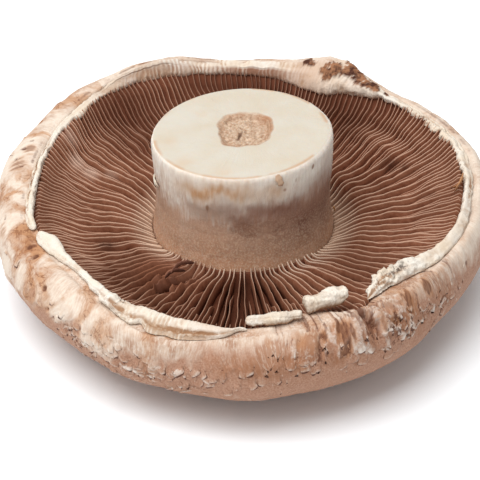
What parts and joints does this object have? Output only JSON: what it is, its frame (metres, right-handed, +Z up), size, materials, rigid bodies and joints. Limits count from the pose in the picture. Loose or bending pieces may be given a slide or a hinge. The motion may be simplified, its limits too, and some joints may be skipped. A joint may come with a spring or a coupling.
{
  "type": "portobello mushroom",
  "caption": "Whole portobello mushroom with a cut stem, lying on its cap with the open gills facing up.",
  "frame": {"origin": "bottom centre of the mushroom's box, under the cap, on the surface it rests on", "axes": "+Z up, along the stem, from the cap's skin to the cut face; +X to the right and +Y away, seen with the torn front of the rim nearest"},
  "size_m": [0.116, 0.116, 0.0457],
  "materials": {
    "cap_skin": "matte",
    "gills": "matte",
    "stem": "matte",
    "veil": "matte"
  },
  "bodies": {
    "root": {"cap": "cap_skin", "gills": "gills", "stem": "stem", "veil": "veil", "veil_curl_front": "veil", "veil_curl_right": "veil"}
  },
  "joints": []
}
